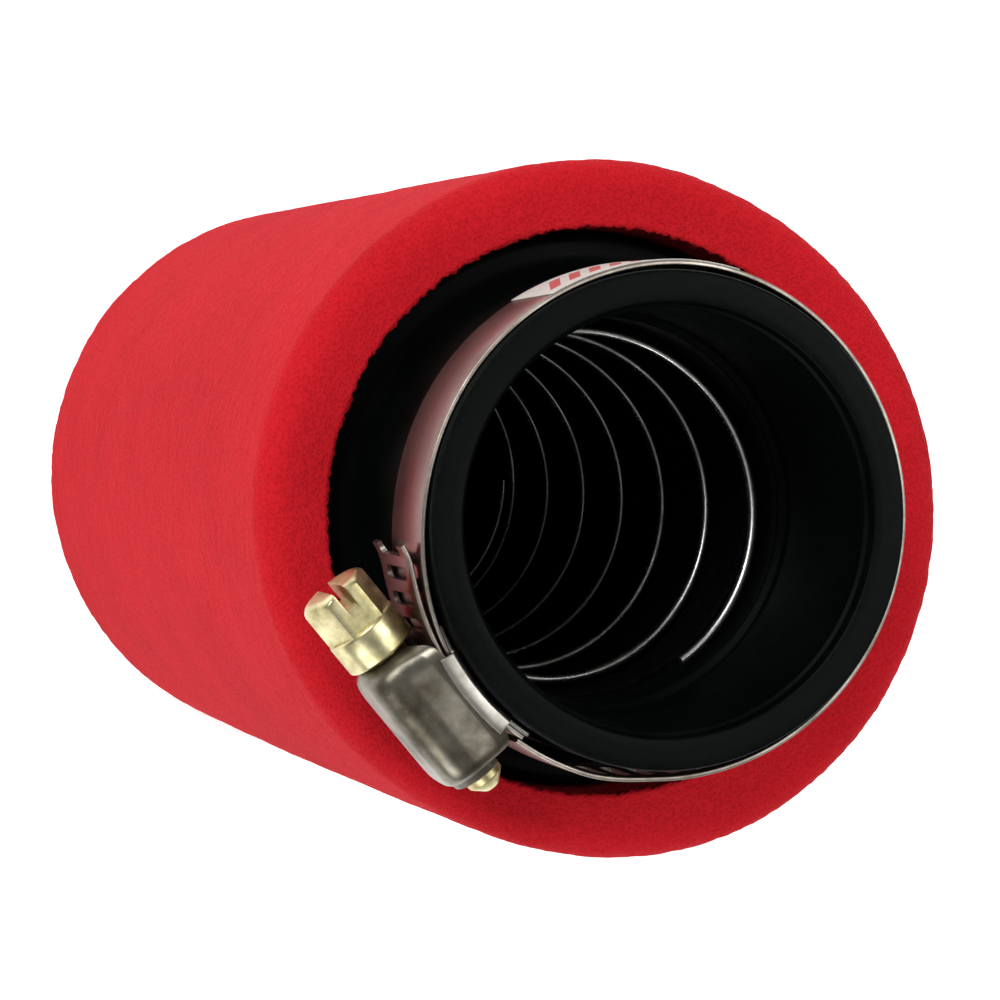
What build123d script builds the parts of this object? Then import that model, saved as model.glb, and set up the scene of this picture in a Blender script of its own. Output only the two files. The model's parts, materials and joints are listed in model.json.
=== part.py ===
"""Clamp-on two-stage foam air filter (pod filter) for a motorcycle carburettor.

Millimetres. The origin is the centre of the flat closed end, and +Z runs along the axis to the
mouth of the rubber neck. Angles about the axis are counted counter-clockwise, seen from the mouth.
"""
import os
from math import cos, pi, radians, sin

from build123d import *

os.makedirs("parts", exist_ok=True)

# ---- driving dimensions -------------------------------------------------------------------------
FOAM_LENGTH = 152.4          # 6 in, closed end to front face
NECK_LENGTH = 25.4           # rubber neck standing out of the front face
FOAM_FRONT_RADIUS = 44.5     # 3.5 in across the front
FOAM_REAR_RADIUS = 43.2      # the sleeve narrows a little to the closed end
FOAM_HOLE_RADIUS = 35.8      # inside of the outer sleeve
FOAM_FRONT_ROUND = 4.0
FOAM_REAR_ROUND = 5.0
GLUE_GAP = 0.2               # bond line between foam and foam, and foam and rubber

OUTER_CAP_THICKNESS = 12.7
INNER_FOAM_RADIUS = 35.4     # outside of the second stage
INNER_FOAM_BORE = 24.2
INNER_CAP_TOP = 37.1         # where the spring stands on the inner plug

NECK_BORE_RADIUS = 25.4      # 2 in clamp-on spigot
NECK_RADIUS = 30.0
LEAD_IN_RADIUS = 26.0
LEAD_IN_DEPTH = 1.5
PIPE_STOP_RADIUS = 24.6      # a ledge in the bore that the intake spigot comes up against
PIPE_STOP_DEPTH = 27.4       # from the mouth
SHOULDER_DEPTH = 7.0         # rubber shoulder below the foam's front face
SHOULDER_THICKNESS = 6.0

WIRE_RADIUS = 0.6
SPRING_RADIUS = 22.9         # to the middle of the wire
SPRING_PITCH = 17.1
SPRING_TURNS = 6.16          # open turns, left-hand
END_PITCH = 5.0              # the one closed turn at the blind end

BAND_WIDTH = 12.7
BAND_THICKNESS = 0.6
BAND_RADIUS = 31.2           # to the middle of the band's thickness
BAND_LAYER = 0.65            # the second layer lies this much further out
BAND_SETBACK = 3.0           # band's front edge behind the mouth
CLAMP_ANGLE = 220.5          # where the worm housing sits round the neck
TONGUE_END_ANGLE = 236.0     # inner end of the band, just inside the housing
OUTER_LAYER_ANGLE = 235.3    # where the band's outer layer ends, inside the housing
RAMP_START_ANGLE = 252.0     # the outer layer comes down to the neck between these two angles
RAMP_END_ANGLE = 270.0
TAIL_START_ANGLE = 229.0
TAIL_BEND_ANGLE = 193.5      # the tail leaves the neck's curve here, in a straight line
TAIL_FREE_SLOTS = 2          # slots past the bend; the last one is cut through
SLOT_LENGTH = 8.4
SLOT_WIDTH = 1.7
BAND_SLOTS = 15

WORM_PITCH = 3.2
WORM_AXIS_RADIUS = 35.6      # the worm's axis, from the neck's axis
WORM_RADIUS = 3.8
WORM_TURNS = 4
WORM_CREST_WIDTH = 0.8
WORM_ROOT_WIDTH = 1.5
WORM_ROOT_SINK = 0.15        # the thread's root starts this far inside the shank
SHANK_RADIUS = 2.8
DOG_RADIUS = 2.4
DOG_TIP_RADIUS = 1.0
DOG_START = -7.6             # along the screw from the middle of the housing
DOG_LENGTH = 4.5
COLLAR_RADIUS = 4.6
COLLAR_START = 9.5
COLLAR_LENGTH = 4.4
HEX_ACROSS_FLATS = 7.94      # 5/16 in
HEX_LENGTH = 5.5
DRIVER_SLOT_WIDTH = 1.6
DRIVER_SLOT_DEPTH = 2.8
RUNNING_CLEARANCE = 0.08

HOUSING_LENGTH = 17.4
HOUSING_HALF_WIDTH = 7.3
HOUSING_SIDE_TOP = 33.3      # the flat sides end here, as a distance from the neck's axis
HOUSING_WALL = 0.7
END_WALL = 0.8
SADDLE_INNER_RADIUS = 30.3
SADDLE_THICKNESS = 0.55
SADDLE_TAB_LENGTH = 11.0
SADDLE_TAB_TOP = 32.7

LABEL_START_ANGLE = 73.0
LABEL_SWEEP = 49.0
LABEL_WIDTH = 12.3
LABEL_THICKNESS = 0.15

# ---- places worked out from them ----------------------------------------------------------------
MOUTH_Z = FOAM_LENGTH + NECK_LENGTH
SHOULDER_Z = FOAM_LENGTH - SHOULDER_DEPTH
FLANGE_Z = SHOULDER_Z - SHOULDER_THICKNESS
INNER_FOAM_Z = OUTER_CAP_THICKNESS + GLUE_GAP
CLAMP_Z = MOUTH_Z - BAND_SETBACK - BAND_WIDTH / 2
OUTER_LAYER_RADIUS = BAND_RADIUS + BAND_LAYER
SLOT_ANGLE = WORM_PITCH / OUTER_LAYER_RADIUS * 180 / pi
BAND_BACK = Plane.XY.offset(CLAMP_Z - BAND_WIDTH / 2)

radial = Vector(cos(radians(CLAMP_ANGLE)), sin(radians(CLAMP_ANGLE)), 0)
headwards = Vector(sin(radians(CLAMP_ANGLE)), -cos(radians(CLAMP_ANGLE)), 0)

# Local x runs across the band, y out from the neck's axis and z towards the screw's head.
clamp_plane = Plane(origin=(0, 0, CLAMP_Z), x_dir=(0, 0, -1), z_dir=headwards)
# Local x points at the neck's axis and z along the screw towards its head.
screw_plane = Plane(origin=clamp_plane.origin + radial * WORM_AXIS_RADIUS, x_dir=-radial, z_dir=headwards)


def finish(builder, name):
    """Label a finished piece and write it under its node's name."""
    builder.part.label = name
    export_step(builder.part, f"parts/{name}.step")


def band_slot_plane(angle, radius):
    """A plane on the middle of the band's width, facing out from the neck's axis."""
    outwards = Vector(cos(radians(angle)), sin(radians(angle)), 0)
    return Plane(origin=Vector(0, 0, CLAMP_Z) + outwards * radius, x_dir=(0, 0, 1), z_dir=outwards)


# ---- filter body --------------------------------------------------------------------------------
# Outer stage: a thick sleeve of fine red foam with rounded ends.
with BuildPart() as outer_foam:
    with BuildSketch(Plane.XZ):
        with BuildLine():
            Polyline(
                (FOAM_HOLE_RADIUS, 0),
                (FOAM_REAR_RADIUS, 0),
                (FOAM_FRONT_RADIUS, FOAM_LENGTH),
                (FOAM_HOLE_RADIUS, FOAM_LENGTH),
                close=True,
            )
        sleeve = make_face()
        outer_corners = sleeve.vertices().filter_by(lambda v: v.X > FOAM_HOLE_RADIUS + 1)
        fillet(outer_corners.sort_by(Axis.Y)[0], FOAM_REAR_ROUND)
        front_corner = vertices().filter_by(lambda v: v.X > FOAM_HOLE_RADIUS + 1).sort_by(Axis.Y)[-1]
        fillet(front_corner, FOAM_FRONT_ROUND)
    revolve(axis=Axis.Z)
finish(outer_foam, "outer_foam")

# The disc of red foam bonded into the sleeve's blind end.
with BuildPart() as outer_foam_cap:
    with BuildSketch(Plane.XY):
        Circle(FOAM_HOLE_RADIUS - GLUE_GAP)
    extrude(amount=OUTER_CAP_THICKNESS)
finish(outer_foam_cap, "outer_foam_cap")

# Inner stage: a sleeve of coarse black foam between the spring and the outer sleeve.
with BuildPart() as inner_foam:
    with BuildSketch(Plane.XY.offset(INNER_FOAM_Z)):
        Circle(INNER_FOAM_RADIUS)
        Circle(INNER_FOAM_BORE, mode=Mode.SUBTRACT)
    extrude(amount=FLANGE_Z - GLUE_GAP - INNER_FOAM_Z)
finish(inner_foam, "inner_foam")

with BuildPart() as inner_foam_cap:
    with BuildSketch(Plane.XY.offset(INNER_FOAM_Z)):
        Circle(INNER_FOAM_BORE - GLUE_GAP)
    extrude(amount=INNER_CAP_TOP - INNER_FOAM_Z)
finish(inner_foam_cap, "inner_foam_cap")

# Wire support that keeps the foam from collapsing: open left-hand turns on a closed end turn.
spring_foot = Plane.XY.offset(INNER_CAP_TOP + WIRE_RADIUS)
with BuildPart() as support_spring:
    with BuildLine(spring_foot):
        closed_turn = Helix(END_PITCH, END_PITCH, SPRING_RADIUS, lefthand=True)
    with BuildSketch(Plane(origin=closed_turn @ 0, z_dir=closed_turn % 0)):
        Circle(WIRE_RADIUS)
    sweep(path=closed_turn)
    with BuildLine(spring_foot.offset(END_PITCH)):
        open_turns = Helix(SPRING_PITCH, SPRING_PITCH * SPRING_TURNS, SPRING_RADIUS, lefthand=True)
    with BuildSketch(Plane(origin=open_turns @ 0, z_dir=open_turns % 0)):
        Circle(WIRE_RADIUS)
    sweep(path=open_turns)
finish(support_spring, "support_spring")

# Moulded rubber neck: the tube that clamps on the intake, and the shoulder the foam is bonded to.
with BuildPart() as rubber_neck:
    with BuildSketch(Plane.XZ):
        with BuildLine():
            Polyline(
                (PIPE_STOP_RADIUS, FLANGE_Z),
                (INNER_FOAM_RADIUS, FLANGE_Z),
                (INNER_FOAM_RADIUS, SHOULDER_Z),
                (NECK_RADIUS, SHOULDER_Z),
                (NECK_RADIUS, MOUTH_Z),
                (LEAD_IN_RADIUS, MOUTH_Z),
                (LEAD_IN_RADIUS, MOUTH_Z - LEAD_IN_DEPTH),
                (NECK_BORE_RADIUS, MOUTH_Z - LEAD_IN_DEPTH),
                (NECK_BORE_RADIUS, MOUTH_Z - PIPE_STOP_DEPTH),
                (PIPE_STOP_RADIUS, MOUTH_Z - PIPE_STOP_DEPTH),
                close=True,
            )
        make_face()
        mouth_corner = vertices().group_by(Axis.Y)[-1].sort_by(Axis.X)[-1]
        fillet(mouth_corner, 1.2)
        root_corner = vertices().filter_by(lambda v: abs(v.X - NECK_RADIUS) < 0.01).sort_by(Axis.Y)[0]
        fillet(root_corner, 3.0)
        shoulder_edge = vertices().sort_by(Axis.X)[-2:].sort_by(Axis.Y)[-1]
        fillet(shoulder_edge, 1.5)
    revolve(axis=Axis.Z)
finish(rubber_neck, "rubber_neck")

# ---- worm-drive clamp ---------------------------------------------------------------------------
# Stainless band. Its inner end is a short tongue that lies under the housing, and after one turn
# round the neck it climbs on to that tongue as a second layer, which ends inside the housing.
with BuildPart() as clamp_band:
    with BuildSketch(BAND_BACK):
        with BuildLine():
            outer_layer = CenterArc(
                (0, 0), OUTER_LAYER_RADIUS, OUTER_LAYER_ANGLE, RAMP_START_ANGLE - OUTER_LAYER_ANGLE
            )
            round_the_neck = CenterArc(
                (0, 0), BAND_RADIUS, RAMP_END_ANGLE, TONGUE_END_ANGLE + 360 - RAMP_END_ANGLE
            )
            Spline(
                outer_layer @ 1,
                round_the_neck @ 0,
                tangents=(outer_layer % 1, round_the_neck % 0),
            )
        trace(line_width=BAND_THICKNESS)
    extrude(amount=BAND_WIDTH)
    for count in range(BAND_SLOTS):
        with BuildSketch(band_slot_plane(RAMP_START_ANGLE + SLOT_ANGLE * count, BAND_RADIUS)):
            SlotOverall(SLOT_LENGTH, SLOT_WIDTH)
        extrude(amount=2 * BAND_LAYER, both=True, mode=Mode.SUBTRACT)
finish(clamp_band, "clamp_band")

# The slotted end of the band: it runs under the worm and out on the head's side, where it is cut
# off through a slot, so that its end is a fork.
tail_slot_angles = [CLAMP_ANGLE - SLOT_ANGLE * count for count in range(-1, 5)]
bend_to_slot = WORM_PITCH - OUTER_LAYER_RADIUS * radians(tail_slot_angles[-1] - TAIL_BEND_ANGLE)
free_length = bend_to_slot + WORM_PITCH * (TAIL_FREE_SLOTS - 1)
with BuildPart() as band_tail:
    with BuildSketch(BAND_BACK):
        with BuildLine():
            under_worm = CenterArc(
                (0, 0), OUTER_LAYER_RADIUS, TAIL_START_ANGLE, TAIL_BEND_ANGLE - TAIL_START_ANGLE
            )
            free_end = Line(under_worm @ 1, under_worm @ 1 + (under_worm % 1) * free_length)
        trace(line_width=BAND_THICKNESS)
    extrude(amount=BAND_WIDTH)
    slot_planes = [band_slot_plane(slot_angle, OUTER_LAYER_RADIUS) for slot_angle in tail_slot_angles]
    for count in range(TAIL_FREE_SLOTS):
        distance = bend_to_slot + WORM_PITCH * count
        slot_planes.append(Plane(
            origin=free_end @ 0 + free_end % 0 * distance + Vector(0, 0, BAND_WIDTH / 2),
            x_dir=(0, 0, 1),
            z_dir=Vector(0, 0, 1).cross(free_end % 0),
        ))
    for slot_plane in slot_planes:
        with BuildSketch(slot_plane):
            SlotOverall(SLOT_LENGTH, SLOT_WIDTH)
        extrude(amount=2 * BAND_LAYER, both=True, mode=Mode.SUBTRACT)
finish(band_tail, "band_tail")


def housing_outline(inset):
    """Cross-section of the stamped cover: straight sides, sloping shoulders, an arch over the worm."""
    half_width = HOUSING_HALF_WIDTH - inset
    arch = WORM_RADIUS + 0.25 + HOUSING_WALL - inset
    foot = SADDLE_INNER_RADIUS - 2.5
    with BuildSketch(Plane.XY) as outline:
        with BuildLine():
            Polyline(
                (-arch, WORM_AXIS_RADIUS),
                (-half_width, HOUSING_SIDE_TOP),
                (-half_width, foot),
                (half_width, foot),
                (half_width, HOUSING_SIDE_TOP),
                (arch, WORM_AXIS_RADIUS),
            )
            CenterArc((0, WORM_AXIS_RADIUS), arch, 0, 180)
        make_face()
    return outline.sketch


cover_outside = housing_outline(0)
cover_inside = housing_outline(HOUSING_WALL)

# Stamped steel housing that holds the worm down on the band.
with BuildPart() as clamp_housing:
    with BuildSketch(clamp_plane.offset(-HOUSING_LENGTH / 2)):
        add(cover_outside)
    extrude(amount=HOUSING_LENGTH)
    end_edges = edges().filter_by(GeomType.CIRCLE).filter_by(lambda e: e.radius < 6)
    fillet(end_edges, 0.6)
    with BuildSketch(clamp_plane.offset(END_WALL - HOUSING_LENGTH / 2)):
        add(cover_inside)
    extrude(amount=HOUSING_LENGTH - 2 * END_WALL, mode=Mode.SUBTRACT)
    # the neck and the saddle below, and the passage for both layers of band
    with BuildSketch(BAND_BACK.offset(-BAND_WIDTH / 2)):
        Circle(SADDLE_INNER_RADIUS + SADDLE_THICKNESS + 0.05)
    extrude(amount=2 * BAND_WIDTH, mode=Mode.SUBTRACT)
    with BuildSketch(BAND_BACK.offset(-0.25)):
        Circle(OUTER_LAYER_RADIUS + BAND_THICKNESS / 2 + 0.3)
    extrude(amount=BAND_WIDTH + 0.5, mode=Mode.SUBTRACT)
    # the bearings of the screw
    with BuildSketch(screw_plane.offset(HOUSING_LENGTH / 2 - 2 * END_WALL)):
        Circle(SHANK_RADIUS + RUNNING_CLEARANCE)
    extrude(amount=3 * END_WALL, mode=Mode.SUBTRACT)
    with BuildSketch(screw_plane.offset(2 * END_WALL - HOUSING_LENGTH / 2)):
        Circle(DOG_RADIUS + RUNNING_CLEARANCE)
    extrude(amount=-3 * END_WALL, mode=Mode.SUBTRACT)
finish(clamp_housing, "clamp_housing")

# The saddle under the band, with its two tabs folded up over the housing's feet.
with BuildPart() as clamp_saddle:
    with BuildSketch(clamp_plane.offset(-HOUSING_LENGTH / 2)):
        with Locations((0, SADDLE_INNER_RADIUS)):
            Rectangle(2 * HOUSING_HALF_WIDTH - 2 * HOUSING_WALL - 0.4, 5)
    extrude(amount=HOUSING_LENGTH)
    tab_half_width = HOUSING_HALF_WIDTH + 0.05 + SADDLE_THICKNESS
    with BuildSketch(clamp_plane.offset(-SADDLE_TAB_LENGTH / 2)):
        with Locations((0, SADDLE_INNER_RADIUS)):
            Rectangle(2 * tab_half_width, 5)
    extrude(amount=SADDLE_TAB_LENGTH)
    with BuildSketch(Plane.XY.offset(CLAMP_Z - BAND_WIDTH)):
        Circle(SADDLE_INNER_RADIUS + SADDLE_THICKNESS)
    extrude(amount=2 * BAND_WIDTH, mode=Mode.INTERSECT)
    for side in (-1, 1):
        with BuildSketch(clamp_plane.offset(-SADDLE_TAB_LENGTH / 2)):
            tab_middle = (SADDLE_INNER_RADIUS - 1 + SADDLE_TAB_TOP) / 2
            with Locations((side * (tab_half_width - SADDLE_THICKNESS / 2), tab_middle)):
                Rectangle(SADDLE_THICKNESS, SADDLE_TAB_TOP - SADDLE_INNER_RADIUS + 1)
        extrude(amount=SADDLE_TAB_LENGTH)
    with BuildSketch(Plane.XY.offset(CLAMP_Z - BAND_WIDTH)):
        Circle(SADDLE_INNER_RADIUS)
    extrude(amount=2 * BAND_WIDTH, mode=Mode.SUBTRACT)
finish(clamp_saddle, "clamp_saddle")

# Zinc-plated worm screw: slotted hexagon head, round collar, worm and a dog point. It is made
# upright, with its head on top, and then laid in the housing.
with BuildPart() as upright_screw:
    with BuildSketch(Plane.XY.offset(COLLAR_START)):
        Circle(SHANK_RADIUS)
    extrude(amount=-(COLLAR_START - DOG_START))
    with BuildSketch(Plane.XY.offset(DOG_START)):
        Circle(DOG_RADIUS)
    extrude(amount=-DOG_LENGTH)
    chamfer(edges().sort_by(Axis.Z)[0], DOG_RADIUS - DOG_TIP_RADIUS)
    with BuildSketch(Plane.XY.offset(COLLAR_START)):
        Circle(COLLAR_RADIUS)
    extrude(amount=COLLAR_LENGTH)
    with BuildSketch(Plane.XY.offset(COLLAR_START + COLLAR_LENGTH)):
        RegularPolygon(HEX_ACROSS_FLATS / 2, 6, major_radius=False)
    extrude(amount=HEX_LENGTH)
    with BuildSketch(Plane.XY.offset(COLLAR_START + COLLAR_LENGTH + HEX_LENGTH)):
        Rectangle(DRIVER_SLOT_WIDTH, 3 * COLLAR_RADIUS)
    extrude(amount=-DRIVER_SLOT_DEPTH, mode=Mode.SUBTRACT)
    with BuildLine(Plane.XY.offset(-WORM_PITCH * WORM_TURNS / 2)):
        worm_path = Helix(WORM_PITCH, WORM_PITCH * WORM_TURNS, SHANK_RADIUS)
    with BuildSketch(Plane(origin=worm_path @ 0, x_dir=(1, 0, 0), z_dir=worm_path % 0)):
        with BuildLine():
            Polyline(
                (-WORM_ROOT_SINK, -WORM_ROOT_WIDTH / 2),
                (WORM_RADIUS - SHANK_RADIUS, -WORM_CREST_WIDTH / 2),
                (WORM_RADIUS - SHANK_RADIUS, WORM_CREST_WIDTH / 2),
                (-WORM_ROOT_SINK, WORM_ROOT_WIDTH / 2),
                close=True,
            )
        make_face()
    sweep(path=worm_path, is_frenet=True)

with BuildPart() as clamp_screw:
    with Locations(screw_plane.location):
        add(upright_screw.part)
finish(clamp_screw, "clamp_screw")

# A printed size label stuck on the band.
with BuildPart() as clamp_label:
    label_radius = BAND_RADIUS + BAND_THICKNESS / 2 + LABEL_THICKNESS / 2
    with BuildSketch(Plane.XY.offset(CLAMP_Z - LABEL_WIDTH / 2)):
        with BuildLine():
            CenterArc((0, 0), label_radius, LABEL_START_ANGLE, LABEL_SWEEP)
        trace(line_width=LABEL_THICKNESS)
    extrude(amount=LABEL_WIDTH)
finish(clamp_label, "clamp_label")
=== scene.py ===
"""Looks of a clamp-on foam air filter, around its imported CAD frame. Metres, +Z out of the neck."""
import json
from math import atan2, cos, hypot, pi, radians, sin, tan, tau

import bmesh
import bpy
import numpy as np
from mathutils import Matrix, Vector


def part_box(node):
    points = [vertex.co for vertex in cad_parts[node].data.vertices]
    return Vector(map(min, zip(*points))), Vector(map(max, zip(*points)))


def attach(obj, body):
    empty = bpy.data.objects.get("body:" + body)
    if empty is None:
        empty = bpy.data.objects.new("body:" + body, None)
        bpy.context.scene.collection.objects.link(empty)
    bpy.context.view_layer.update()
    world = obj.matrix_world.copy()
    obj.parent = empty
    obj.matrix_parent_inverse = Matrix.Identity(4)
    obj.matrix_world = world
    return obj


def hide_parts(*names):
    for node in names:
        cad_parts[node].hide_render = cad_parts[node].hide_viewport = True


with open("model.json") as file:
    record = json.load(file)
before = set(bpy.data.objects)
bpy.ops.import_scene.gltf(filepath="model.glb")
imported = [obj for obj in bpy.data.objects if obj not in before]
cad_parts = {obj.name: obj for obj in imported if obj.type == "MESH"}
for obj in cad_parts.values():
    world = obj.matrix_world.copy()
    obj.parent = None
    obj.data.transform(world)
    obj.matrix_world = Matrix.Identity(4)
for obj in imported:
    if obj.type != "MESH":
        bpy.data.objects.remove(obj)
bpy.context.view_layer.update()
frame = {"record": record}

# ---- outer foam --------------------------------------------------------------------------------
# The outer stage is a thick sleeve of red reticulated polyurethane foam, cut and bonded from sheet,
# with its ends ground round. Its skin is open cells, so the whole surface is fine pits and struts,
# and the cells torn by the knife leave a ragged edge round the hole.
MM = 0.001
foam_low, foam_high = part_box("outer_foam")
FOAM_LENGTH = foam_high.z - foam_low.z
FOAM_FRONT_RADIUS = 44.5 * MM
FOAM_REAR_RADIUS = 43.2 * MM
FOAM_HOLE_RADIUS = 35.8 * MM
FOAM_FRONT_ROUND = 4.0 * MM
FOAM_REAR_ROUND = 5.0 * MM
FOAM_STEP = 0.62 * MM
HIDDEN_STEP = 6 * MM         # where nothing shows
SIDE_SWELL = 2.7 * MM        # the sleeve is a little fuller on one side towards the front
SWELL_ANGLE = radians(-22)
SIDE_SINK = 1.5 * MM         # and a little hollow on another
SINK_ANGLE = radians(-118)
RAGGED_DEPTH = 0.16 * MM     # of the torn cells, on an edge this wide and this far down the hole
RAGGED_WIDTH = 0.4 * MM
RAGGED_REACH = 3 * MM
HOLE_LIP = 10 * MM           # down to here the hole's wall is finely divided


def add_node(tree, kind, inputs=None, **settings):
    """A node with its properties and inputs set. An input is a value or another node's output."""
    made = tree.nodes.new(kind)
    for name, value in settings.items():
        setattr(made, name, value)
    for key, value in (inputs or {}).items():
        if isinstance(value, bpy.types.NodeSocket):
            tree.links.new(value, made.inputs[key])
        else:
            made.inputs[key].default_value = value
    return made


def calc(tree, operation, *values):
    """The output of a math node fed by numbers or by other nodes' outputs."""
    return add_node(tree, "ShaderNodeMath", dict(enumerate(values)), operation=operation).outputs["Value"]


def node_group(kind, name, inputs, outputs):
    """A new node group with (name, socket type, default) inputs and (name, socket type) outputs."""
    tree = bpy.data.node_groups.new(name, kind)
    for label, socket_kind, default in inputs:
        made = tree.interface.new_socket(label, in_out="INPUT", socket_type=socket_kind)
        if default is not None:
            made.default_value = default
    for label, socket_kind in outputs:
        tree.interface.new_socket(label, in_out="OUTPUT", socket_type=socket_kind)
    return tree, tree.nodes.new("NodeGroupInput").outputs, tree.nodes.new("NodeGroupOutput").inputs


def geometry_group(name, inputs):
    """A geometry node group that takes and gives a Geometry, with more named inputs."""
    inputs = [("Geometry", "NodeSocketGeometry", None)] + inputs
    return node_group("GeometryNodeTree", name, inputs, [("Geometry", "NodeSocketGeometry")])


def freeze(piece):
    """Keep what the piece's modifiers make as its plain mesh."""
    depsgraph = bpy.context.evaluated_depsgraph_get()
    made = bpy.data.meshes.new_from_object(
        piece.evaluated_get(depsgraph), preserve_all_data_layers=True, depsgraph=depsgraph
    )
    piece.modifiers.clear()
    old = piece.data
    piece.data = made
    bpy.data.meshes.remove(old)


def run_nodes(piece, tree, **values):
    """Run a geometry node tree on a piece, its inputs set by their names, and keep the result."""
    modifier = piece.modifiers.new(tree.name, "NODES")
    modifier.node_group = tree
    for item in tree.interface.items_tree:
        key = item.name.replace(" ", "_")
        if item.in_out == "INPUT" and key in values:
            modifier[item.identifier] = values[key]
    freeze(piece)


def new_piece(name, vertices, edges, faces):
    """A new object at the origin from plain vertices, edges and faces."""
    mesh = bpy.data.meshes.new(name)
    mesh.from_pydata([tuple(v) for v in vertices], edges, faces)
    mesh.polygons.foreach_set("use_smooth", [True] * len(mesh.polygons))
    mesh.update()
    piece = bpy.data.objects.new(name, mesh)
    bpy.context.scene.collection.objects.link(piece)
    return piece


def grid_piece(name, points, wrap_rows=False, wrap_columns=True, keep=None):
    """Rows of points joined into quads. It faces outwards if columns run counter-clockwise."""
    points = np.asarray(points, dtype=float)
    rows, columns = points.shape[:2]
    faces = []
    for i in range(rows if wrap_rows else rows - 1):
        for k in range(columns if wrap_columns else columns - 1):
            i_next, k_next = (i + 1) % rows, (k + 1) % columns
            if keep is None or keep(i, k):
                row, next_row = i * columns, i_next * columns
                faces.append((row + k, row + k_next, next_row + k_next, next_row + k))
    return new_piece(name, points.reshape(-1, 3).tolist(), [], faces)


def rounded(corners, step):
    """An outline from (x, y, radius) corners, each rounded by an arc of its own radius."""
    outline = []
    for i, (x, y, radius) in enumerate(corners):
        here = Vector((x, y))
        if radius == 0:
            outline.append((x, y))
            continue
        before = (Vector(corners[i - 1][:2]) - here).normalized()
        after = (Vector(corners[(i + 1) % len(corners)][:2]) - here).normalized()
        half = before.angle(after) / 2
        centre = here + (before + after).normalized() * radius / sin(half)
        start = here + before * radius / tan(half) - centre
        end = here + after * radius / tan(half) - centre
        first = atan2(start.y, start.x)
        sweep = (atan2(end.y, end.x) - first + pi) % tau - pi
        count = max(2, round(abs(sweep) * radius / step))
        angles = [first + sweep * k / count for k in range(count + 1)]
        outline += [(centre.x + radius * cos(a), centre.y + radius * sin(a)) for a in angles]
    return outline


def spaced(points, step):
    """The same line with its long straight runs divided into steps."""
    out = [points[0]]
    for a, b in zip(points, points[1:]):
        count = max(1, round(hypot(b[0] - a[0], b[1] - a[1]) / step))
        for i in range(1, count + 1):
            out.append((a[0] + (b[0] - a[0]) * i / count, a[1] + (b[1] - a[1]) * i / count))
    return out


def turned(outline, around):
    """Rows of points of a (radius, height) outline turned about the Z axis."""
    angles = np.arange(around) * tau / around
    radius, height = np.array(outline).T
    x = radius[:, None] * np.cos(angles)
    y = radius[:, None] * np.sin(angles)
    return np.stack([x, y, np.repeat(height[:, None], around, axis=1)], axis=-1)


foam_outline = spaced(rounded([
    (FOAM_HOLE_RADIUS, 0.0, 0),
    (FOAM_REAR_RADIUS, 0.0, FOAM_REAR_ROUND),
    (FOAM_FRONT_RADIUS, FOAM_LENGTH, FOAM_FRONT_ROUND),
    (FOAM_HOLE_RADIUS, FOAM_LENGTH, 0),
    (FOAM_HOLE_RADIUS, FOAM_LENGTH - HOLE_LIP, 0),
], FOAM_STEP), FOAM_STEP)
foam_outline += spaced([foam_outline[-1], (FOAM_HOLE_RADIUS, 0.0)], HIDDEN_STEP)[1:-1]
foam_points = turned(foam_outline, round(tau * FOAM_FRONT_RADIUS / FOAM_STEP))

# the fuller and the hollow side grow with the distance from the hole and towards the front
foam_radius = np.hypot(foam_points[..., 0], foam_points[..., 1])
foam_angle = np.arctan2(foam_points[..., 1], foam_points[..., 0])
towards_front = np.clip(foam_points[..., 2] / FOAM_LENGTH, 0, 1) ** 2
off_the_hole = np.clip((foam_radius - FOAM_HOLE_RADIUS) / (FOAM_FRONT_RADIUS - FOAM_HOLE_RADIUS), 0, 1)
fuller = SIDE_SWELL * np.clip(np.cos(foam_angle - SWELL_ANGLE), 0, 1) ** 1.5
hollow = SIDE_SINK * np.clip(np.cos(foam_angle - SINK_ANGLE), 0, 1) ** 4
foam_grown = 1 + (fuller - hollow) * towards_front * off_the_hole / foam_radius
foam_points[..., :2] *= foam_grown[..., None]
# torn cells round the hole's front edge
rng = np.random.default_rng(7)
at_hole = foam_radius < FOAM_HOLE_RADIUS + RAGGED_WIDTH
at_edge = at_hole & (foam_points[..., 2] > FOAM_LENGTH - RAGGED_REACH)
torn = rng.normal(0, RAGGED_DEPTH, foam_radius.shape) * at_edge
foam_points[..., :2] *= (1 + torn / foam_radius)[..., None]
foam = grid_piece("foam_sleeve", foam_points, wrap_rows=True)

COLOR, FLOAT, VECTOR = "NodeSocketColor", "NodeSocketFloat", "NodeSocketVector"
MATERIAL = "NodeSocketMaterial"
MIX_A, MIX_B, MIX_RESULT = 6, 7, 2     # a colour Mix node's own sockets


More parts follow.
